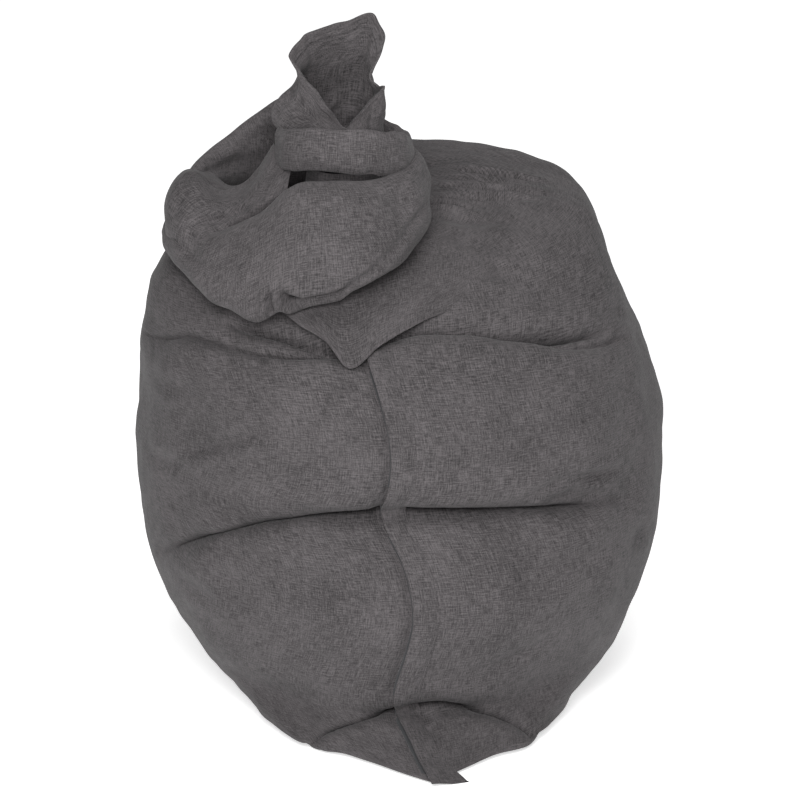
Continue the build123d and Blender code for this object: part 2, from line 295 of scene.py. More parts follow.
# Soft folds on the walls: angle and height at both ends, width, depth inwards.
FOLDS = [
    (28, 456, 40, 475, 10, 7), (36, 474, 60, 448, 10, 7), (32, 446, 46, 444, 9, 6),
    (42, 446, 62, 378, 9, 6), (-60, 470, -26, 588, 12, 7), (-16, 652, -2, 672, 12, 5),
    (-75, 440, -52, 470, 14, 4), (-40, 560, -18, 585, 18, 3), (-15, 590, -4, 578, 10, 3),
    (-66, 250, -45, 240, 16, 4), (-60, 330, -30, 352, 16, 4), (-28, 384, -12, 398, 14, 4),
    (14, 400, 34, 392, 16, 4), (28, 330, 55, 318, 20, 4), (-30, 190, -12, 150, 18, 4),
    (18, 150, 42, 190, 18, 4), (12, 600, 30, 612, 18, 3), (30, 560, 52, 575, 20, 3),
    (-72, 580, -50, 610, 14, 4), (60, 330, 78, 300, 16, 4), (62, 700, 84, 668, 12, 6),
    (95, 560, 125, 600, 20, 5), (100, 420, 130, 380, 20, 5), (-125, 590, -98, 560, 20, 5),
    (-130, 400, -100, 440, 20, 5), (150, 560, 172, 580, 16, 4), (-170, 540, -150, 570, 16, 4),
    (110, 250, 140, 230, 22, 5), (-140, 240, -108, 262, 22, 5), (160, 300, 176, 330, 16, 4),
]


def along_angle(pairs, width=9):
    """Values at every column from (angle, value) pairs, softened."""
    a, v = zip(*pairs)
    return smooth(np.interp(angle, a, v), width)


def fold_in(points, line, depth, sharp, droop, margin):
    """Moves the cloth in along a crease line, its upper lip drooping over the lower one.

    With a margin the crease is that much wider, for a layer that lies inside the cover.
    """
    t = (skin[..., 2] - line) / np.clip(climb, 0.35, 1)
    away = np.abs(t)
    near = np.where(climb > 0.05, 1.0, 0.0)
    wall = np.maximum(away - margin, 0)
    pull = -depth * np.exp(-wall / sharp)
    if margin:
        return points + (near * pull)[..., None] * normal
    pull = pull + 0.16 * depth * np.exp(-(((away - 42) / 26) ** 2))
    x = away / (1.3 * sharp)
    lip = x * np.exp(1 - x) * droop * depth / 45
    shift = np.where(t > 0, -lip, 0.45 * lip)
    return points + near[..., None] * (pull[..., None] * normal + shift[..., None] * uphill)


def creased(points, margin=0):
    """The sack's surface with every crease folded in."""
    for places, sharp, droop in CREASES:
        line = along_angle([(a, z) for a, z, _ in places])
        depth = along_angle([(a, d) for a, _, d in places])
        lowest, highest = places[0][0], places[-1][0]
        edge = np.where((angle < lowest - 0.01) | (angle > highest + 0.01), 0, 1)
        if abs(lowest) > 170 or abs(highest) > 170:
            far = (np.abs(angle) > 170) & (np.sign(angle) == np.sign(lowest + highest))
            depth = np.where(far, depth, depth * edge)
        else:
            depth = depth * smooth(edge.astype(float), 5)
        points = fold_in(points, line[None], depth[None], sharp, droop, margin)
    for sign, middle, reach, height, deep in EAR_ARCHES:
        ends = np.clip(1 - ((skin[..., 0] - middle) / reach) ** 2, 0, 1)
        facing = ease((skin[..., 1] * sign - 120) / 80)
        points = fold_in(points, height * ends, np.sqrt(ends) * facing * deep, 8, 10, margin)
    return points


# The arches over the two ears: front or rear, middle, half width, height, depth.
EAR_ARCHES = ((-1, 44, 215, 84, 42), (1, 0, 230, 78, 28))


def groove(off, wide, lip=0.5, lip_at=1.9):
    """How deep a groove is by distance from its line, with a raised lip on both sides."""
    return np.exp(-((off / wide) ** 2)) - lip * np.exp(-(((off - lip_at * wide) / wide) ** 2))


def folded(points, places, folds, fade_in, fade_out, where, **lips):
    """Presses straight folds into the sack: both ends among the places, width, depth."""
    for x0, y0, x1, y1, wide, deep in folds:
        start, end = np.array([x0, y0]), np.array([x1, y1])
        way = end - start
        s = ((places - start) @ way) / (way @ way)
        off = np.linalg.norm(places - start - np.clip(s, 0, 1)[..., None] * way, axis=-1)
        fade = ease(s / fade_in) * ease((1 - s) / fade_out) * where
        points = points - (deep * fade * groove(off, wide, **lips))[..., None] * normal
    return points


GIRTH = 7.6  # mm round the wall to a degree
wall_places = np.stack([angle[None] * GIRTH + 0 * skin[..., 2], skin[..., 2]], -1)
wall_folds = [(a0 * GIRTH, z0, a1 * GIRTH, z1, *size) for a0, z0, a1, z1, *size in FOLDS]
body = creased(skin.copy())
body = folded(body, wall_places, wall_folds, 0.35, 0.35, climb > 0.2, lip=0.55)

# Tension folds on the sloping top run from the knot to the right and back: x and y at both ends,
# width, depth.
TOP_FOLDS = [
    (40, 34, 140, 28, 6, 18), (45, 66, 270, 84, 9, 11), (55, 128, 285, 98, 9, 17),
    (90, 195, 275, 150, 8, 16), (60, -130, 250, -140, 16, 6), (-20, 110, 90, 260, 12, 6),
    (-120, 110, -150, 300, 14, 5), (-240, 40, -330, 200, 14, 5), (0, 130, 60, 330, 12, 4),
    (45, -20, 240, 0, 16, 5),
]
on_top = ease((skin[..., 2] - 715) / 40)
body = folded(body, skin[..., :2], TOP_FOLDS, 0.2, 0.6, on_top, lip_at=2)

# Soft waves all over, but none on the floor and few where the zip runs.
off_floor = ease(skin[..., 2] / 30)
calm_seam = 1 - 0.85 * np.exp(-((angle / 9) ** 2))[None] * (skin[..., 2] < 80)
waves = 2.6 * ripple(skin, 26, 110, 330, 11) + 1.0 * ripple(skin, 30, 45, 110, 12)
body = body + (waves * off_floor * calm_seam)[..., None] * normal

# The rear seam lies in a gutter.
GUTTER_DEPTH, GUTTER_DEGREES = 5.0, 1.2
gutter = np.exp(-(180 - np.abs(angle)) / GUTTER_DEGREES)
gutter = GUTTER_DEPTH * gutter[None] * ease((skin[..., 2] - 95) / 40)
body = body - gutter[..., None] * normal

# Arc lengths round the sack from the front seam.
step = np.linalg.norm(np.diff(skin, axis=1), axis=-1)
body_u = np.zeros(body.shape[:2])
body_u[:, SEAM + 1:] = np.cumsum(step[:, SEAM:], axis=1)
body_u[:, :SEAM] = -np.cumsum(step[:, :SEAM][:, ::-1], axis=1)[:, ::-1]

# The cloth dips beside the fly's free edge.
VALLEY_AT, VALLEY_WIDTH, VALLEY_DEPTH = -15, 13, 9.0
valley = np.exp(-(((body_u - VALLEY_AT) / VALLEY_WIDTH) ** 2)) * ease((skin[..., 2] - 100) / 30)
valley = valley * ease((740 - skin[..., 2]) / 40)
body = body - (VALLEY_DEPTH * valley)[..., None] * normal

# The front ear's frame: its tip, the ways up its ridge, out of its cloth and across it. The ridge
# runs this far to the right, forward and down.
EAR_X, EAR_Y, EAR_Z = 58, 190, 75
PLAN = math.hypot(EAR_Y, EAR_X)
RIDGE = math.atan2(EAR_Z, PLAN)
forward = np.array([EAR_X, -EAR_Y, 0]) / PLAN
uphill_way = np.array([0, 0, math.sin(RIDGE)]) - forward * math.cos(RIDGE)
outward = np.array([0, 0, math.cos(RIDGE)]) + forward * math.sin(RIDGE)
across_way = np.array([EAR_Y, EAR_X, 0]) / PLAN
tip = np.array([58, -560, 0])

# Its ridge is straight as far as the zip's slider runs.
from_tip = body - tip
ridge_up, ridge_off, ridge_out = (from_tip @ way for way in (uphill_way, across_way, outward))
run = ease((ridge_up - 95) / 30) * ease((195 - ridge_up) / 22)
run = run * ease((64 - np.abs(ridge_off)) / 40)
run = run * ease((82 - skin[..., 2]) / 8) * (body[..., 1] < -250)
body = body - (run * np.maximum(ridge_out + 0.3, 0))[..., None] * outward
body[..., 2] = np.maximum(body[..., 2], 0.0)

body_v = chord_knots(skin)[:, None] + 0 * body_u


# ---- materials ----------------------------------------------------------------------------------
def new_material(name):
    material = bpy.data.materials.new(name)
    material.use_nodes = True
    nodes = material.node_tree.nodes
    return material, nodes, material.node_tree.links, nodes["Principled BSDF"]


def cloth_material(name, base, spread, thread=1.15, streak=0.16, bump=0.35, sheen=0.25):
    """Woven cloth: uneven yarns both ways, a fine weave, and slow changes of tone."""
    material, nodes, links, shader = new_material(name)
    coords = nodes.new("ShaderNodeTexCoord")

    def yarns(along, across, detail):
        mapping = nodes.new("ShaderNodeMapping")
        mapping.inputs["Scale"].default_value = (along, across, 1)
        noise = nodes.new("ShaderNodeTexNoise")
        noise.inputs["Scale"].default_value = 1
        noise.inputs["Detail"].default_value = detail
        noise.inputs["Roughness"].default_value = 0.6
        links.new(coords.outputs["UV"], mapping.inputs["Vector"])
        links.new(mapping.outputs["Vector"], noise.inputs["Vector"])
        return noise.outputs["Fac"]

    def math_node(kind, a, b):
        node = nodes.new("ShaderNodeMath")
        node.operation = kind
        for socket, value in zip(node.inputs, (a, b)):
            if isinstance(value, (int, float)):
                socket.default_value = value
            else:
                links.new(value, socket)
        return node.outputs[0]

    thread_scale = 1 / (thread * MM)
    weft = yarns(thread_scale * 0.055, thread_scale * 0.68, 3)
    warp = yarns(thread_scale * 0.68, thread_scale * 0.055, 3)
    fine_weft = yarns(thread_scale * 0.3, thread_scale * 1.0, 1)
    fine_warp = yarns(thread_scale * 1.0, thread_scale * 0.3, 1)
    cloud = yarns(9, 9, 2)
    streaks = math_node("ADD", weft, warp)
    weave = math_node("ADD", fine_weft, fine_warp)
    fine_part = math_node("MULTIPLY", math_node("SUBTRACT", weave, 1.0), 0.22)
    slow_part = math_node("MULTIPLY", math_node("SUBTRACT", cloud, 0.5), 0.18)
    tone = math_node("ADD", math_node("MULTIPLY", streaks, 0.5), fine_part)
    tone = math_node("ADD", tone, slow_part)
    ramp = nodes.new("ShaderNodeValToRGB")
    low, high = ramp.color_ramp.elements
    low.position, high.position = 0.5 - streak, 0.5 + streak
    low.color = (*[c * (1 - spread) for c in base], 1)
    high.color = (*[min(1, c * (1 + spread)) for c in base], 1)
    links.new(tone, ramp.inputs["Fac"])
    links.new(ramp.outputs["Color"], shader.inputs["Base Color"])
    height = math_node("MULTIPLY", weave, 0.6)
    height = math_node("ADD", height, math_node("MULTIPLY", streaks, 0.5))
    bump_node = nodes.new("ShaderNodeBump")
    bump_node.inputs["Strength"].default_value = bump
    bump_node.inputs["Distance"].default_value = 0.0012
    links.new(height, bump_node.inputs["Height"])
    links.new(bump_node.outputs["Normal"], shader.inputs["Normal"])
    shader.inputs["Roughness"].default_value = 0.9
    shader.inputs["Sheen Weight"].default_value = sheen
    shader.inputs["Sheen Roughness"].default_value = 0.5
    shader.inputs["Specular IOR Level"].default_value = 0.25
    return material


def worn_material(name, base, metallic, rough, scale=900):
    """Metal or plastic with fine handling marks."""
    material, nodes, links, shader = new_material(name)
    coords = nodes.new("ShaderNodeTexCoord")
    noise = nodes.new("ShaderNodeTexNoise")
    noise.inputs["Scale"].default_value = scale
    noise.inputs["Detail"].default_value = 4
    links.new(coords.outputs["Object"], noise.inputs["Vector"])
    ramp = nodes.new("ShaderNodeValToRGB")
    ramp.color_ramp.elements[0].color = (*[c * 0.75 for c in base], 1)
    ramp.color_ramp.elements[1].color = (*[min(1, c * 1.2) for c in base], 1)
    links.new(noise.outputs["Fac"], ramp.inputs["Fac"])
    links.new(ramp.outputs["Color"], shader.inputs["Base Color"])
    marks = nodes.new("ShaderNodeMapRange")
    marks.inputs["To Min"].default_value = rough - 0.08
    marks.inputs["To Max"].default_value = rough + 0.12
    links.new(noise.outputs["Fac"], marks.inputs["Value"])
    links.new(marks.outputs["Result"], shader.inputs["Roughness"])
    shader.inputs["Metallic"].default_value = metallic
    return material


GREY, BLACK = (0.052, 0.0475, 0.049), (0.03, 0.03, 0.032)
cover_cloth = cloth_material("cover_cloth", GREY, 0.64, streak=0.13, sheen=0.05)
tape_cloth = cloth_material("zip_tape_cloth", BLACK, 0.2, thread=0.6)
liner_cloth = cloth_material("liner_cloth", (0.75, 0.75, 0.73), 0.05, thread=0.5, sheen=0.1)
label_cloth = cloth_material("label_cloth", (0.8, 0.8, 0.78), 0.03, thread=0.4, sheen=0.1)
bead_foam = cloth_material("bead_foam", (0.9, 0.9, 0.9), 0.04, thread=4, bump=0.9, sheen=0)
coil_plastic = worn_material("coil_plastic", BLACK, 0, 0.4)
pale_plastic = worn_material("pale_plastic", (0.72, 0.72, 0.7), 0, 0.4)
gunmetal = worn_material("gunmetal", (0.12, 0.12, 0.125), 1, 0.35)
pale_metal = worn_material("pale_metal", (0.6, 0.6, 0.6), 1, 0.35)


def dress(obj, material):
    obj.data.materials.clear()
    obj.data.materials.append(material)
    return obj


# ---- cover panels -------------------------------------------------------------------------------
for name, node, columns in (
    ("cover_left", "cover_left_panel", slice(0, SEAM + 1)),
    ("cover_right", "cover_right_panel", slice(SEAM, None)),
):
    panel = make_mesh(name, body[:, columns], (body_u[:, columns], body_v[:, columns]))
    dress(panel, cover_cloth)
    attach(panel, "sack")
    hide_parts(node)


# ---- strips along the front seam ----------------------------------------------------------------
def seam_row(height):
    """The grid row where the front seam is at a height, as a fraction."""
    z = skin[BASE_ROWS:, SEAM, 2]
    return BASE_ROWS + np.interp(height, np.maximum.accumulate(z), np.arange(len(z)))


def on_skin(surface, normals, rows, across, lift):
    """Points at distances across the seam (mm, right positive) on grid rows, lifted off."""
    low = np.clip(rows.astype(int), 0, len(surface) - 2)
    part = (rows - low)[:, None]
    made = np.empty((len(rows), across.shape[1], 3))
    for i in range(len(rows)):
        p = surface[low[i]] * (1 - part[i]) + surface[low[i] + 1] * part[i]
        n = normals[low[i]] * (1 - part[i]) + normals[low[i] + 1] * part[i]
        u = body_u[low[i]] * (1 - part[i]) + body_u[low[i] + 1] * part[i]
        for k in range(3):
            made[i, :, k] = np.interp(across[i], u, p[:, k]) + lift[i] * np.interp(
                across[i], u, n[:, k]
            )
    return made


def strip(name, rows, across, low, high, surface, normals, caps=True):
    """A closed strip of cloth from its lower and upper lifts at places across the seam."""
    top_side = on_skin(surface, normals, rows, across, high)
    under = on_skin(surface, normals, rows, across[:, ::-1], low[:, ::-1])
    points = np.concatenate([top_side, under], axis=1)
    return make_mesh(name, points, grid_uvs(points, loop_u=True), loop_u=True, caps=caps)


eased = smooth(smooth(body, 9), 7)
eased_normal = unit(smooth(smooth(normal, 9), 7))
FLY_LEFT, FLY_RIGHT = -13.0, 31.0   # its free edge and its sewn edge, from the seam
FLY_THICK, END_THICK = 2.4, 2.2
FLY_ACROSS = np.array([-13, -12.4, -11, -7, -2, 4, 11, 18, 24, 27, 28.5, 30, 31])
fly_rows = np.linspace(seam_row(63), seam_row(700), 330)
wave = 2.2 * np.sin(fly_rows / 17) + 1.5 * np.sin(fly_rows / 8.3 + 1)
fly_across = FLY_ACROSS[None] + 0 * fly_rows[:, None]
share = (fly_across - FLY_LEFT) / (FLY_RIGHT - FLY_LEFT)
fly_high = 1.4 + (13.5 + wave[:, None]) * (1 - share) ** 1.1
fly_high[:, 0] -= 1.6
fly_high[:, 1] -= 0.5
fly_high[:, 9:11] -= np.array([0.9, 0.5])
fly_low = fly_high - FLY_THICK
fly_low[:, 0] = fly_high[:, 0] - 0.3
fly_low[:, -1] = -0.5
fly_top = on_skin(eased, eased_normal, fly_rows, fly_across, fly_high)
fly_under = on_skin(eased, eased_normal, fly_rows, fly_across[:, ::-1], fly_low[:, ::-1])
seam_way = fly_top[:, 4]
on_ear = ease((84 - seam_way[:, 2]) / 16)[:, None, None]
ear_along = (seam_way - tip) @ uphill_way
share = share[:1]
ear_high = 10.8 - 3.2 * share - np.where(FLY_ACROSS > 0, 0.2, 0.12) * np.abs(FLY_ACROSS)


def over_ear(across, above):
    """The fly's places over the ear, from how far they are across and above its ridge."""
    return (
        tip
        + ear_along[:, None, None] * uphill_way
        + across[None, :, None] * across_way
        + above[..., None] * outward
    )


fly_top += (over_ear(FLY_ACROSS, ear_high) - fly_top) * on_ear
ear_low = ear_high[:, ::-1] - END_THICK
fly_under += (over_ear(FLY_ACROSS[::-1], ear_low) - fly_under) * on_ear
points = np.concatenate([fly_top, fly_under], axis=1)
fly = make_mesh("fly", points, grid_uvs(points, loop_u=True), loop_u=True, caps=True)
dress(fly, cover_cloth)
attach(fly, "sack")
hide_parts("zip_fly")


end_along = np.linspace(-2, 186, 70)
settle = ease((end_along - 4) / 60)[:, None]
share = (FLY_ACROSS[None] - FLY_LEFT) / (FLY_RIGHT - FLY_LEFT)
free_edge = np.interp(end_along, [-2, 15, 75, 130, 172, 186], [-6, -8, -10, -12, -14, -14])
sewn_edge = np.interp(end_along, [-2, 15, 50, 100, 172, 186], [66, 58, 42, 33, 31, 31])
end_across = free_edge[:, None] + share * (sewn_edge - free_edge)[:, None]
end_across = smooth(end_across, 7)
droop = np.where(end_across > 0, 0.2, 0.12) * np.abs(end_across)
# It stands a little higher where the slider stops at the end of its run.
passing = np.exp(-(((end_along - 150) / 20) ** 2))[:, None]
passing = passing * ease((17 - np.abs(end_across)) / 9)
end_high = 10.2 - 3.2 * share - droop
end_high = end_high + 1.2 * np.sin(end_along / 14)[:, None] * (1 - passing) + 3.0 * passing
end_high = end_high + 1.5 * (1 - settle)
end_low = end_high - END_THICK
end_low[:, 0] = end_high[:, 0] - 0.3
end_low[:, -1] = end_high[:, -1] - 0.4
skewed = end_along[:, None] + 6 * share * (1 - settle)
columns = np.concatenate([end_across, end_across[:, ::-1]], axis=1)
lifts = np.concatenate([end_high, end_low[:, ::-1]], axis=1)
alongs = np.concatenate([skewed, skewed[:, ::-1]], axis=1)
points = (
    tip
    + alongs[..., None] * uphill_way
    + columns[..., None] * across_way
    + lifts[..., None] * outward
)
points[..., 2] = np.maximum(points[..., 2], 0.6)
fly_end = make_mesh("fly_end", points, grid_uvs(points, loop_u=True), loop_u=True, caps=True)
dress(fly_end, cover_cloth)
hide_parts("zip_fly_end")
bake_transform(fly_end)

# Zip tapes and teeth under the fly.
zip_rows = np.linspace(seam_row(7), seam_row(690), 420)
for name, node, left, right in (
    ("tape_left", "zip_tape_left", -15, -2.5),
    ("tape_right", "zip_tape_right", 2.5, 15),
):
    across = np.linspace(left, right, 5)[None] + 0 * zip_rows[:, None]
    level = 0 * across
    tape = strip(name, zip_rows, across, 0.4 + level, 1.1 + level, eased, eased_normal)
    dress(tape, tape_cloth)
    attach(tape, "sack")
    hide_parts(node)
coil_rows = np.linspace(seam_row(9), seam_row(686), 1400)
teeth = 0.5 + 0.5 * np.cos(np.arange(len(coil_rows)) * math.pi / 1.5)
for name, node, left, right in (
    ("coil_left", "zip_coil_left", -2.2, -0.1),
    ("coil_right", "zip_coil_right", 0.1, 2.2),
):
    across = np.linspace(left, right, 4)[None] + 0 * coil_rows[:, None]
    high = 2.2 + 0.6 * teeth[:, None] - 0.25 * np.abs(across - (left + right) / 2)
    coil = strip(name, coil_rows, across, 1.2 + 0 * across, high, eased, eased_normal)
    dress(coil, coil_plastic)
    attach(coil, "sack")
    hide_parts(node)


# ---- folds of the knot --------------------------------------------------------------------------
def swept(name, sections, along, around, closed, pleat, lines=(), caps=False):
    """A fold of cloth swept through closed cross-sections, with pleats along it."""
    sections = np.asarray(sections, float)
    lengthwise = fine_loop(sections, along) if closed else fine(sections, along)
    surface = fine_loop(lengthwise.transpose(1, 0, 2), around).transpose(1, 0, 2)
    loop = np.concatenate([surface[:, -1:], surface, surface[:, :1]], axis=1)
    side = loop[:, 2:] - loop[:, :-2]
    if closed:
        ahead = np.roll(surface, -1, axis=0) - np.roll(surface, 1, axis=0)
    else:
        ahead = np.gradient(surface, axis=0)
    out = unit(np.cross(side, ahead))
    middle = surface.mean(axis=1, keepdims=True)
    if ((surface - middle) * out).sum() < 0:
        out = -out
    surface = scored(surface + pleat(surface)[..., None] * out, out, lines)
    uvs = grid_uvs(surface, loop_u=True, loop_v=closed)
    return make_mesh(name, surface, uvs, loop_u=True, loop_v=closed, caps=caps and not closed)


# A wound fold's section: the way from its upper edge to its lower one, and the share of its bulge
# outside or of its thickness inside.
OUTSIDE = [(0.0, 0.1), (0.1, 0.6), (0.28, 0.88), (0.5, 1.0), (0.72, 0.92), (0.9, 0.6),
           (1.0, 0.12)]
INSIDE = [(0.96, 0.55), (0.74, 1.0), (0.5, 1.0), (0.26, 1.0), (0.04, 0.5)]


def wound(center, stations):
    """Cross-sections of a fold wound round the neck.

    Each station: degrees from the right by the front, radius and height of the upper edge, radius
    and height of the lower edge, how far it bulges out, how thick it is inwards.
    """
    sections = []
    for turn, top_radius, top_z, low_radius, low_z, bulge, inward in stations:
        a = math.radians(turn)
        high, low = np.array([top_radius, top_z]), np.array([low_radius, low_z])
        along = low - high
        out = np.array([-along[1], along[0]]) / np.linalg.norm(along)
        flat = [high + along * t + out * bulge * b for t, b in OUTSIDE]
        flat += [high + along * t - out * inward * b for t, b in INSIDE]
        sections.append([
            (center[0] + r * math.cos(a), center[1] - r * math.sin(a), z) for r, z in flat
        ])
    return sections


def scored(surface, out, lines):
    """Grooves pressed along lines that are laid on the surface: their points, width, depth."""
    for line, wide, deep in lines:
        spots = surface.reshape(-1, 3)
        nearest = [np.argmin(((spots - point) ** 2).sum(-1)) for point in np.array(line, float)]
        line = spots[nearest]
        lengths = chord_knots(line)
        best = np.full(surface.shape[:-1], 1e9)
        place = np.zeros(surface.shape[:-1])
        for k in range(len(line) - 1):
            way = line[k + 1] - line[k]
            t = np.clip(((surface - line[k]) @ way) / (way @ way), 0, 1)
            off = np.linalg.norm(surface - line[k] - t[..., None] * way, axis=-1)
            place = np.where(off < best, lengths[k] + t * (lengths[k + 1] - lengths[k]), place)
            best = np.minimum(best, off)
        place = place / lengths[-1]
        fade = ease(place / 0.25 + 0.02) * ease((1 - place) / 0.25 + 0.02)
        surface = surface - (deep * fade * groove(best, wide))[..., None] * out
    return surface


def joined(whole, part):
    """Adds one mesh to another, as one piece."""
    with bpy.context.temp_override(
        active_object=whole, object=whole, selected_objects=[whole, part],
        selected_editable_objects=[whole, part],
    ):
        bpy.ops.object.join()
    return whole


# The big loop hangs from the wrap, passes in front of the neck and goes up round the left.
LOOP = [
    (0, 200, 966, 216, 858, 14, 24), (20, 186, 960, 220, 842, 22, 28),
    (45, 160, 958, 226, 822, 30, 32), (67, 140, 960, 232, 796, 36, 36),
    (88, 126, 957, 226, 780, 36, 38), (98, 126, 945, 224, 764, 35, 38),
    (107, 128, 932, 224, 738, 34, 38), (124, 140, 902, 214, 748, 32, 34),
    (145, 176, 858, 212, 768, 24, 26),
    (165, 197, 848, 221, 796, 18, 20), (180, 202, 868, 228, 812, 16, 22),
    (200, 192, 918, 224, 820, 16, 26), (220, 188, 936, 220, 825, 16, 26),
    (240, 186, 968, 216, 830, 18, 26), (260, 184, 1004, 208, 835, 20, 26),
    (280, 182, 1006, 200, 838, 20, 26), (300, 184, 984, 200, 840, 18, 26),
    (320, 190, 966, 204, 845, 16, 26), (340, 196, 962, 210, 852, 14, 26),
]
LOOP_CENTER = (-172, -60)
# Tucks and pleats on the loop, as lines for scored().
LOOP_LINES = [
    ([(46, -100, 905), (0, -200, 868), (-60, -262, 826), (-120, -285, 800)], 8, 5),
    ([(30, -130, 930), (-60, -225, 895), (-150, -270, 850)], 16, 4),
    ([(-20, -170, 940), (-130, -225, 905), (-230, -240, 850)], 14, 3),
    ([(-214, -275, 803), (-196, -290, 786), (-165, -296, 776), (-120, -292, 784),
      (-75, -280, 802)], 8, 25),
    ([(-212, -300, 750), (-220, -288, 770), (-226, -275, 796)], 6, 17),
    ([(-300, -235, 785), (-350, -190, 820), (-385, -120, 850)], 12, 4),
    ([(-360, -60, 930), (-330, 20, 900), (-260, 90, 905)], 12, 6),
]


def loop_pleat(surface):
    d = surface - np.array([*LOOP_CENTER, 0])
    a = np.arctan2(-d[..., 1], d[..., 0])
    w = surface[..., 2] + 0.25 * np.hypot(d[..., 0], d[..., 1])
    return (
        1.6 * np.sin(w / 13 + 1.5 * np.sin(a + 0.6))
        + 1.2 * np.sin(w / 8 - 2 * np.sin(1.5 * a))
        + 3.2 * ripple(surface, 20, 60, 200, 21)
    )


def plate(name, over, thick):
    """A closed layer of cloth with its upper side given and its lower side a little inwards."""
    side, ahead = np.gradient(over, axis=1), np.gradient(over, axis=0)
    out = unit(np.cross(side, ahead))
    if out[..., 2].mean() < 0:
        out = -out
    shell = np.concatenate([over, (over - thick * out)[::-1]])
    return make_mesh(name, shell, grid_uvs(shell, loop_v=True), loop_v=True)


# Where the loop comes round on the left its cloth lies open over the wall: degrees from the right
# by the front, then radius and height from outside to the neck.
LEFT_FOLD = [
    (106, (154, 790), (150, 812), (140, 838), (126, 842), (106, 868), (80, 918), (24, 985)),
    (118, (178, 796), (170, 818), (158, 841), (140, 840), (116, 867), (88, 918), (26, 985)),
    (135, (198, 795), (193, 820), (180, 844), (156, 844), (128, 868), (94, 912), (30, 985)),
    (150, (212, 800), (206, 828), (193, 858), (167, 862), (135, 880), (98, 912), (36, 985)),
    (165, (222, 806), (224, 848), (207, 884), (178, 903), (140, 895), (98, 910), (40, 985)),
    (180, (224, 818), (232, 868), (212, 912), (180, 924), (140, 897), (98, 908), (42, 985)),
    (195, (214, 850), (224, 885), (208, 918), (180, 922), (144, 892), (100, 903), (44, 985)),
    (212, (190, 870), (188, 890), (180, 905), (165, 892), (138, 884), (96, 900), (44, 985)),
]
left_net = np.array([
    [(LOOP_CENTER[0] + r * math.cos(math.radians(a)),
      LOOP_CENTER[1] - r * math.sin(math.radians(a)), z) for r, z in row]
    for a, *row in LEFT_FOLD
])
left_over = fine(left_net, 110)
left_over = fine(left_over.transpose(1, 0, 2), 110).transpose(1, 0, 2)
left_out = unit(np.cross(np.gradient(left_over, axis=1), np.gradient(left_over, axis=0)))
left_out *= np.sign(left_out[..., 2].mean())
LEFT_LINES = [
    ([(-350, -108, 850), (-300, -118, 866), (-240, -118, 884)], 7, 6),
    ([(-196, -136, 914), (-226, -142, 892), (-262, -146, 872), (-306, -140, 858)], 8, 12),
    ([(-370, -60, 905), (-330, -40, 905), (-280, -20, 900)], 10, 4),
    ([(-300, -60, 900), (-250, -60, 905), (-210, -60, 925)], 9, 4),
]
left_over = left_over + (1.6 * ripple(left_over, 16, 40, 130, 51))[..., None] * left_out
left_over = scored(left_over, left_out, LEFT_LINES)
left_fold = plate("left_fold", left_over, 3)

loop = swept("loop", wound(LOOP_CENTER, LOOP), 340, 170, True, loop_pleat, lines=LOOP_LINES)
loop = joined(loop, left_fold)
dress(loop, cover_cloth)
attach(loop, "sack")
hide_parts("knot_loop")

# The band round the neck: it starts at its stitched end on the left and goes once round.
BAND_CENTER = (-98, -60)
BAND = [
    (168, 110, 1021, 112, 952, 7, 12), (150, 112, 1032, 114, 961, 8, 14),
    (125, 110, 1044, 112, 969, 9, 14), (100, 108, 1050, 110, 972, 10, 14),
    (75, 106, 1048, 110, 967, 10, 14), (50, 108, 1037, 112, 954, 10, 14),
    (28, 112, 1023, 114, 937, 10, 14), (8, 114, 1006, 114, 922, 9, 14),
    (-12, 110, 1003, 112, 925, 8, 14), (-40, 102, 1006, 104, 935, 8, 14),
    (-70, 96, 1015, 100, 945, 8, 14), (-100, 94, 1020, 98, 950, 8, 14),
    (-130, 94, 1024, 98, 955, 8, 14), (-160, 92, 1028, 96, 958, 8, 13),
    (-185, 88, 1026, 92, 956, 7, 12), (-205, 84, 1020, 88, 954, 5, 9),
]


def band_pleat(surface):
    w = surface[..., 2]
    return 1.0 * np.sin(w / 7 + 0.02 * surface[..., 0]) + 1.8 * ripple(surface, 14, 40, 120, 31)


band = swept("band", wound(BAND_CENTER, BAND), 260, 100, False, band_pleat, caps=True)
dress(band, cover_cloth)
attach(band, "sack")
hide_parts("knot_band")

# The neck's open end: rings from inside the wrap to the rim, from the front by the right.
TAIL_WAYS = 14


def round_ring(x, y, z, radius):
    turn = [2 * math.pi * k / TAIL_WAYS for k in range(TAIL_WAYS)]
    return [(x + radius * math.sin(a), y - 0.85 * radius * math.cos(a), z) for a in turn]


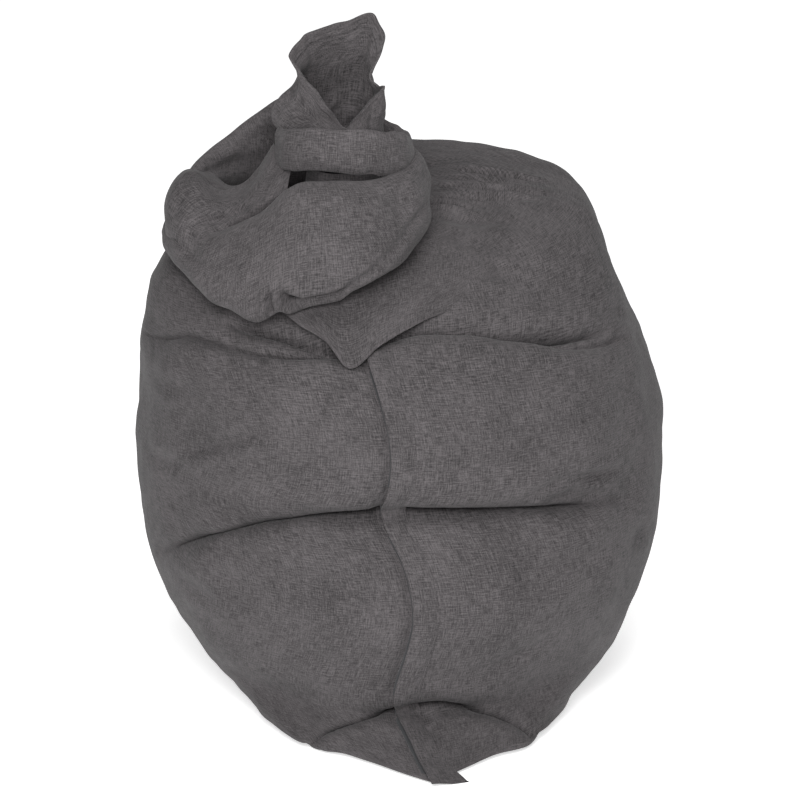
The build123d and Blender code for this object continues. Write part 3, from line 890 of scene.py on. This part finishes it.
TAIL = [
    round_ring(-98, -60, 970, 6),
    round_ring(-98, -60, 974, 52),
    round_ring(-106, -60, 998, 74),
    [(-100, -124, 1014), (-80, -122, 1018), (-56, -112, 1024), (-34, -92, 1034), (-26, -66, 1036),
     (-32, -44, 1040), (-42, -24, 1050), (-62, -8, 1060), (-96, 2, 1060), (-136, 0, 1056),
     (-180, -14, 1046), (-219, -54, 1034), (-200, -92, 1022), (-146, -118, 1014)],
    [(-98, -121, 1024), (-79, -118, 1032), (-54, -106, 1046), (-27, -86, 1062), (-27, -62, 1064),
     (-36, -46, 1072), (-44, -28, 1086), (-60, -12, 1098), (-94, -4, 1098), (-134, -4, 1092),
     (-172, -18, 1084), (-203, -58, 1070), (-186, -92, 1050), (-138, -118, 1030)],
    [(-96, -118, 1030), (-78, -115, 1041), (-54, -101, 1060), (-27, -82, 1086), (-32, -62, 1080),
     (-48, -50, 1088), (-50, -36, 1112), (-56, -22, 1140), (-92, -14, 1138), (-132, -14, 1130),
     (-160, -28, 1122), (-174, -64, 1106), (-172, -92, 1086), (-131, -115, 1044)],
    [(-93, -116, 1034), (-77, -112, 1049), (-54, -98, 1072), (-27, -80, 1097), (-36, -60, 1090),
     (-51, -50, 1102), (-28, -38, 1160), (-45, -28, 1209), (-88, -20, 1196), (-130, -20, 1183),
     (-163, -30, 1169), (-190, -64, 1146), (-170, -92, 1122), (-126, -112, 1074)],
]
TAIL_ROWS, TAIL_COLUMNS, HEM_ROWS = 120, 240, 8
TAIL_THICK = 2.6
outer = fine(np.asarray(TAIL, float), TAIL_ROWS)
outer = fine_loop(outer.transpose(1, 0, 2), TAIL_COLUMNS).transpose(1, 0, 2)
middle = outer.mean(axis=1, keepdims=True)
ways = np.linspace(0, 2 * math.pi, TAIL_COLUMNS, endpoint=False)[None]
level = np.linspace(0, 1, TAIL_ROWS)[:, None]
gather = (1 - 0.7 * level) * (2.6 * np.sin(11 * ways + 2 * level) + 1.8 * np.sin(19 * ways + 1))
outer = outer + (gather + 2.0 * ripple(outer, 16, 40, 120, 41))[..., None] * unit(
    (outer - middle) * [1, 1, 0]
)
out = unit((outer - middle) * [1, 1, 0])
inner = outer - TAIL_THICK * out
for name, node, low, high, grow in (
    ("tail", "neck_tail", 0, TAIL_ROWS - HEM_ROWS + 2, 0.0),
    ("hem", "tail_hem", TAIL_ROWS - HEM_ROWS, TAIL_ROWS, 1.0),
):
    shell = np.concatenate([(outer + grow * out)[low:high], (inner - grow * out)[low:high][::-1]])
    uvs = grid_uvs(shell, loop_u=True, loop_v=True)
    piece = make_mesh(name, shell, uvs, loop_u=True, loop_v=True)
    dress(piece, cover_cloth)
    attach(piece, "sack")
    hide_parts(node)

# The fold that falls from the pinch to a point over the front seam. It lies on the sack: places
# are x, z on its front, and how far the cloth stands off.
tree_rows = np.where(skin[BASE_ROWS:, SEAM, 2] > 560)[0] + BASE_ROWS
front_part = np.abs(angle) < 80
candidates = skin[tree_rows][:, front_part].reshape(-1, 3)
candidate_normals = normal[tree_rows][:, front_part].reshape(-1, 3)
tree = KDTree(len(candidates))
for i, p in enumerate(candidates):
    tree.insert((p[0], p[2], 0), i)
tree.balance()


def lay(places):
    """Points on the sack's front from x, z, lift triples."""
    made = np.empty(places.shape)
    for i in np.ndindex(places.shape[:-1]):
        x, z, lift = places[i]
        found = tree.find_n((x, z, 0), 4)
        weight = np.array([1 / (f[2] + 0.5) for f in found])
        index = [f[1] for f in found]
        p = (candidates[index] * weight[:, None]).sum(0) / weight.sum()
        n = (candidate_normals[index] * weight[:, None]).sum(0) / weight.sum()
        made[i] = (x, p[1], z) + lift * n
    return made


DRAPE = [
    [(-238, 795, 14), (-180, 803, 8), (-110, 812, 4), (-40, 818, 0), (40, 821, -4), (120, 824, -9),
     (200, 830, -18)],
    [(-226, 772, 50), (-165, 780, 30), (-100, 786, 18), (-30, 795, 14), (45, 802, 5),
     (125, 810, -2), (205, 822, -15)],
    [(-220, 752, 58), (-158, 755, 36), (-90, 756, 27), (-25, 766, 22), (45, 778, 13), (120, 792, 3),
     (205, 812, -12)],
    [(-205, 728, 44), (-155, 730, 33), (-95, 720, 25), (-30, 735, 24), (40, 752, 16), (112, 770, 5),
     (200, 800, -11)],
    [(-165, 714, 26), (-122, 701, 22), (-84, 673, 15), (-33, 702, 14), (31, 724, 11), (90, 742, 2),
     (190, 785, -12)],
]
drape_net = np.asarray(DRAPE, float)
drape_places = fine(drape_net, 70)
drape_places = fine(drape_places.transpose(1, 0, 2), 110).transpose(1, 0, 2)
over = lay(drape_places)
over = smooth(smooth(over, 5), 5, axis=1)
turn_in = over[-1:] + np.array([0, 8.0, -1.0])
under = over[::-1] + np.array([0, 12.0, -6.0])
shell = np.concatenate([over, turn_in, under])
drape = make_mesh("neck_fold", shell, grid_uvs(shell, loop_v=True), loop_v=True)
dress(drape, cover_cloth)
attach(drape, "sack")
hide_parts("neck_root")

# ---- what is inside -----------------------------------------------------------------------------
INSIDE_ROWS = np.unique(np.linspace(4, len(body) - 62, 110).astype(int))
INSIDE_COLUMNS = np.unique(np.linspace(0, 2 * HALF_COLUMNS, 121).astype(int))
half = len(INSIDE_COLUMNS) // 2


def inside(depth, margin):
    """A layer inside the cover: creased with it and drawn in all round, furthest at the ears."""
    low = ease((130 - skin[..., 2]) / 60)
    ends = np.exp(-((angle / 40) ** 2)) + np.exp(-(((180 - np.abs(angle)) / 40) ** 2))
    points = creased(skin.copy(), margin)
    at_ears = 0.055 + 0.1 * (skin[..., 1] > 0)
    points[..., :2] *= ((1 - depth / 440) * (1 - at_ears * low * ends[None]))[..., None]
    points[..., 2] += 0.15 * depth - 1.15 * depth * ease((skin[..., 2] - 300) / 400)
    return points[INSIDE_ROWS][:, INSIDE_COLUMNS]


LINER_DEPTH, FILL_DEPTH = 15, 20
for name, node, columns in (
    ("liner_left", "liner_left_panel", slice(0, half + 1)),
    ("liner_right", "liner_right_panel", slice(half, None)),
):
    points = inside(LINER_DEPTH, LINER_DEPTH + 1)[:, columns]
    liner = make_mesh(name, points, grid_uvs(points))
    dress(liner, liner_cloth)
    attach(liner, "sack")
    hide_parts(node)
points = inside(FILL_DEPTH, FILL_DEPTH + 1)[:, :-1]
fill = make_mesh("fill", points, grid_uvs(points, loop_u=True), loop_u=True, caps=True)
dress(fill, bead_foam)
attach(fill, "sack")
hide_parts("bead_fill")

# The care label is sewn to the right panel's inside.
label_rows = np.linspace(seam_row(560), seam_row(610), 12)
label_across = np.linspace(20, 50, 8)[None] + 0 * label_rows[:, None]
label = strip(
    "label", label_rows, label_across, -5.4 + 0 * label_across, -5 + 0 * label_across,
    eased, eased_normal,
)
dress(label, label_cloth)
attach(label, "sack")
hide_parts("care_label")

nodes = frame["nodes"]
for name, material in (
    ("zip_bottom_stop", gunmetal), ("zip_top_stop", gunmetal), ("zip_slider", gunmetal),
    ("zip_pull", gunmetal), ("liner_zip_tape_left", liner_cloth),
    ("liner_zip_tape_right", liner_cloth), ("liner_zip_coil", pale_plastic),
    ("liner_zip_slider", pale_metal),
):
    nodes[name].data.materials.clear()
    nodes[name].data.materials.append(material)

# ---- floor, light, camera -----------------------------------------------------------------------
bpy.ops.mesh.primitive_plane_add(size=60, location=(0, 0, -0.0005))
floor = bpy.context.object
floor.name = "floor"
paper, _, _, paper_shader = new_material("paper")
paper_shader.inputs["Base Color"].default_value = (0.9, 0.9, 0.9, 1)
paper_shader.inputs["Emission Color"].default_value = (1, 1, 1, 1)
paper_shader.inputs["Emission Strength"].default_value = 0.6
paper_shader.inputs["Roughness"].default_value = 0.9
floor.data.materials.append(paper)

world = bpy.data.worlds.new("studio")
scene.world = world
world.use_nodes = True
world.node_tree.nodes["Background"].inputs["Color"].default_value = (1, 1, 1, 1)
world.node_tree.nodes["Background"].inputs["Strength"].default_value = 0.27
scene.view_settings.view_transform = "Standard"


def area(name, place, target, size, power):
    light = bpy.data.lights.new(name, "AREA")
    light.size = size
    light.energy = power
    lamp = bpy.data.objects.new(name, light)
    lamp.location = place
    lamp.rotation_euler = (Vector(target) - Vector(place)).to_track_quat("-Z", "Y").to_euler()
    scene.collection.objects.link(lamp)


area("front_light", (-0.4, -4.6, 3.2), (0, 0, 0.5), 2.4, 336)
area("top_light", (0.5, -0.4, 4.0), (0, 0, 0.4), 2.2, 60)

# The picture has almost no perspective, so the camera is far off with a long lens.
CAMERA_AWAY, CAMERA_DEGREES = 60, 20
camera_data = bpy.data.cameras.new("camera")
camera_data.lens = 1575
camera_data.clip_end = 200
camera = bpy.data.objects.new("camera", camera_data)
scene.collection.objects.link(camera)
aim = Vector((0, 0, 0.498))
elevation = math.radians(CAMERA_DEGREES)
camera.location = aim + CAMERA_AWAY * Vector((0, -math.cos(elevation), math.sin(elevation)))
camera.rotation_euler = (aim - camera.location).to_track_quat("-Z", "Y").to_euler()
scene.camera = camera
